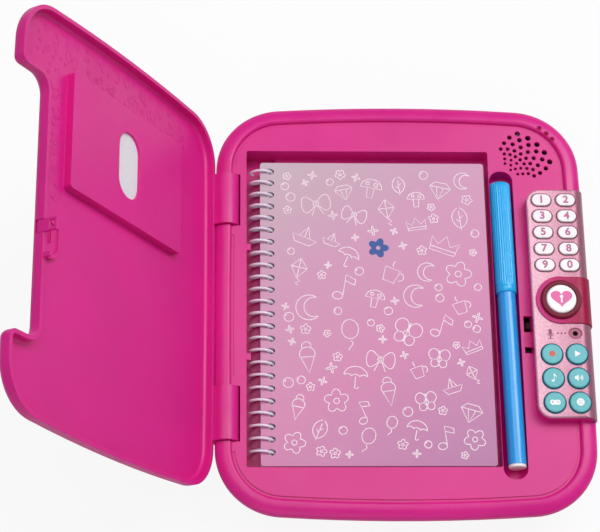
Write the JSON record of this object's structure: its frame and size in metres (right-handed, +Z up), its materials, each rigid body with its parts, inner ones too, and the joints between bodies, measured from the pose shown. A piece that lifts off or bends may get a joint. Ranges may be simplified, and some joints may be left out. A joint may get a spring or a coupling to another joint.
{
  "type": "electronic secret diary",
  "caption": "Toy secret diary case with a hinged lid, round digit keys, a heart button, a coil-bound notebook in a pocket and a capped pen in a groove.",
  "frame": {"origin": "centre of the flat underside of the base", "axes": "+Z up, +X towards the keypad side, -X towards the hinge, +Y towards the far edge"},
  "size_m": [0.2702, 0.215, 0.1705],
  "materials": {
    "body_pink": "satin",
    "lid_pink": "satin",
    "surround_pink": "gloss",
    "bezel_pearl": "pearl satin",
    "digit_white": "satin",
    "function_teal": "satin",
    "heart_white": "gloss",
    "ring_maroon": "gloss",
    "membrane_rubber": "matte",
    "board_green": "solder mask",
    "steel": "zinc plated",
    "latch_plastic": "matte",
    "solenoid_metal": "matte",
    "speaker_metal": "matte",
    "speaker_paper": "matte",
    "magnet": "matte",
    "microphone_metal": "satin",
    "battery_sleeve": "gloss",
    "card": "matte",
    "window_clear": "clear",
    "frame_pink": "gloss",
    "cover_print": "semi-gloss",
    "pages": "matte",
    "back_card": "matte",
    "coil_lilac": "gloss",
    "cap_blue": "gloss",
    "barrel_blue": "gloss",
    "plug_white": "gloss",
    "tip_metal": "polished"
  },
  "bodies": {
    "base": {"base_top_shell": "body_pink", "base_bottom_shell": "body_pink", "case_screws": "steel", "battery_door": "body_pink", "battery_door_screw": "steel", "battery_contacts": "steel", "battery_1": "battery_sleeve", "battery_2": "battery_sleeve", "battery_3": "battery_sleeve", "speaker_frame": "speaker_metal", "speaker_cone": "speaker_paper", "speaker_magnet": "magnet", "keypad_bezel": "bezel_pearl", "heart_surround": "surround_pink", "heart_ring": "ring_maroon", "keypad_membrane": "membrane_rubber", "main_board": "board_green", "board_screws": "steel", "microphone": "microphone_metal", "latch_solenoid": "solenoid_metal", "latch_spring": "steel", "lid_switch": "latch_plastic", "hinge_pin_near": "steel", "hinge_pin_far": "steel"},
    "lid": {"lid_shell": "lid_pink", "lid_catch": "lid_pink", "picture_card": "card", "picture_window": "window_clear", "picture_frame_bezel": "frame_pink"},
    "notebook": {"notebook_pages": "pages", "notebook_back_cover": "back_card", "notebook_coil": "coil_lilac"},
    "cover": {"notebook_front_cover": "cover_print"},
    "pen": {"pen_barrel": "barrel_blue", "pen_tip": "tip_metal", "pen_end_plug": "plug_white"},
    "cap": {"pen_cap": "cap_blue"},
    "bolt": {"latch_bolt": "latch_plastic"},
    "heart": {"heart_button": "heart_white"},
    "digit_button_1_body": {"digit_button_1": "digit_white"},
    "digit_button_2_body": {"digit_button_2": "digit_white"},
    "digit_button_3_body": {"digit_button_3": "digit_white"},
    "digit_button_4_body": {"digit_button_4": "digit_white"},
    "digit_button_5_body": {"digit_button_5": "digit_white"},
    "digit_button_6_body": {"digit_button_6": "digit_white"},
    "digit_button_7_body": {"digit_button_7": "digit_white"},
    "digit_button_8_body": {"digit_button_8": "digit_white"},
    "digit_button_9_body": {"digit_button_9": "digit_white"},
    "digit_button_0_body": {"digit_button_0": "digit_white"},
    "record_button_body": {"record_button": "function_teal"},
    "play_button_body": {"play_button": "function_teal"},
    "music_button_body": {"music_button": "function_teal"},
    "speaker_button_body": {"speaker_button": "function_teal"},
    "game_button_body": {"game_button": "function_teal"},
    "face_button_body": {"face_button": "function_teal"}
  },
  "joints": [
    {"name": "lid_hinge", "type": "hinge", "parent": "base", "child": "lid", "pos_m": [-0.0864, 0, 0.027], "axis": [0, -1, 0], "range_deg": [-120, 0]},
    {"name": "notebook_lift", "type": "slide", "parent": "base", "child": "notebook", "axis": [0, 0, 1], "range_m": [0, 0.06]},
    {"name": "cover_turn", "type": "hinge", "parent": "notebook", "child": "cover", "pos_m": [-0.06875, 0, 0.02405], "axis": [0, -1, 0], "range_deg": [0, 98]},
    {"name": "pen_lift", "type": "slide", "parent": "base", "child": "pen", "axis": [0, 0, 1], "range_m": [0, 0.06]},
    {"name": "cap_pull", "type": "slide", "parent": "pen", "child": "cap", "axis": [-0.0105, 0.9999, 0], "range_m": [0, 0.03]},
    {"name": "latch_slide", "type": "slide", "parent": "base", "child": "bolt", "axis": [1, 0, 0], "range_m": [0, 0.0026], "stiffness_N_per_m": 300, "springref_m": -0.001, "deforming": ["latch_spring"]},
    {"name": "heart_press", "type": "slide", "parent": "base", "child": "heart", "axis": [0, 0, -1], "range_m": [0, 0.0008], "stiffness_N_per_m": 600, "springref_m": -0.0003},
    {"name": "digit_1_press", "type": "slide", "parent": "base", "child": "digit_button_1_body", "axis": [0, 0, -1], "range_m": [0, 0.0008], "stiffness_N_per_m": 500, "springref_m": -0.0003},
    {"name": "digit_2_press", "type": "slide", "parent": "base", "child": "digit_button_2_body", "axis": [0, 0, -1], "range_m": [0, 0.0008], "stiffness_N_per_m": 500, "springref_m": -0.0003},
    {"name": "digit_3_press", "type": "slide", "parent": "base", "child": "digit_button_3_body", "axis": [0, 0, -1], "range_m": [0, 0.0008], "stiffness_N_per_m": 500, "springref_m": -0.0003},
    {"name": "digit_4_press", "type": "slide", "parent": "base", "child": "digit_button_4_body", "axis": [0, 0, -1], "range_m": [0, 0.0008], "stiffness_N_per_m": 500, "springref_m": -0.0003},
    {"name": "digit_5_press", "type": "slide", "parent": "base", "child": "digit_button_5_body", "axis": [0, 0, -1], "range_m": [0, 0.0008], "stiffness_N_per_m": 500, "springref_m": -0.0003},
    {"name": "digit_6_press", "type": "slide", "parent": "base", "child": "digit_button_6_body", "axis": [0, 0, -1], "range_m": [0, 0.0008], "stiffness_N_per_m": 500, "springref_m": -0.0003},
    {"name": "digit_7_press", "type": "slide", "parent": "base", "child": "digit_button_7_body", "axis": [0, 0, -1], "range_m": [0, 0.0008], "stiffness_N_per_m": 500, "springref_m": -0.0003},
    {"name": "digit_8_press", "type": "slide", "parent": "base", "child": "digit_button_8_body", "axis": [0, 0, -1], "range_m": [0, 0.0008], "stiffness_N_per_m": 500, "springref_m": -0.0003},
    {"name": "digit_9_press", "type": "slide", "parent": "base", "child": "digit_button_9_body", "axis": [0, 0, -1], "range_m": [0, 0.0008], "stiffness_N_per_m": 500, "springref_m": -0.0003},
    {"name": "digit_0_press", "type": "slide", "parent": "base", "child": "digit_button_0_body", "axis": [0, 0, -1], "range_m": [0, 0.0008], "stiffness_N_per_m": 500, "springref_m": -0.0003},
    {"name": "record_press", "type": "slide", "parent": "base", "child": "record_button_body", "axis": [0, 0, -1], "range_m": [0, 0.0008], "stiffness_N_per_m": 500, "springref_m": -0.0003},
    {"name": "play_press", "type": "slide", "parent": "base", "child": "play_button_body", "axis": [0, 0, -1], "range_m": [0, 0.0008], "stiffness_N_per_m": 500, "springref_m": -0.0003},
    {"name": "music_press", "type": "slide", "parent": "base", "child": "music_button_body", "axis": [0, 0, -1], "range_m": [0, 0.0008], "stiffness_N_per_m": 500, "springref_m": -0.0003},
    {"name": "speaker_press", "type": "slide", "parent": "base", "child": "speaker_button_body", "axis": [0, 0, -1], "range_m": [0, 0.0008], "stiffness_N_per_m": 500, "springref_m": -0.0003},
    {"name": "game_press", "type": "slide", "parent": "base", "child": "game_button_body", "axis": [0, 0, -1], "range_m": [0, 0.0008], "stiffness_N_per_m": 500, "springref_m": -0.0003},
    {"name": "face_press", "type": "slide", "parent": "base", "child": "face_button_body", "axis": [0, 0, -1], "range_m": [0, 0.0008], "stiffness_N_per_m": 500, "springref_m": -0.0003}
  ],
  "couplings": [
    {"joint": "cap_pull", "follows": "pen_lift", "ratio": 0.5}
  ]
}
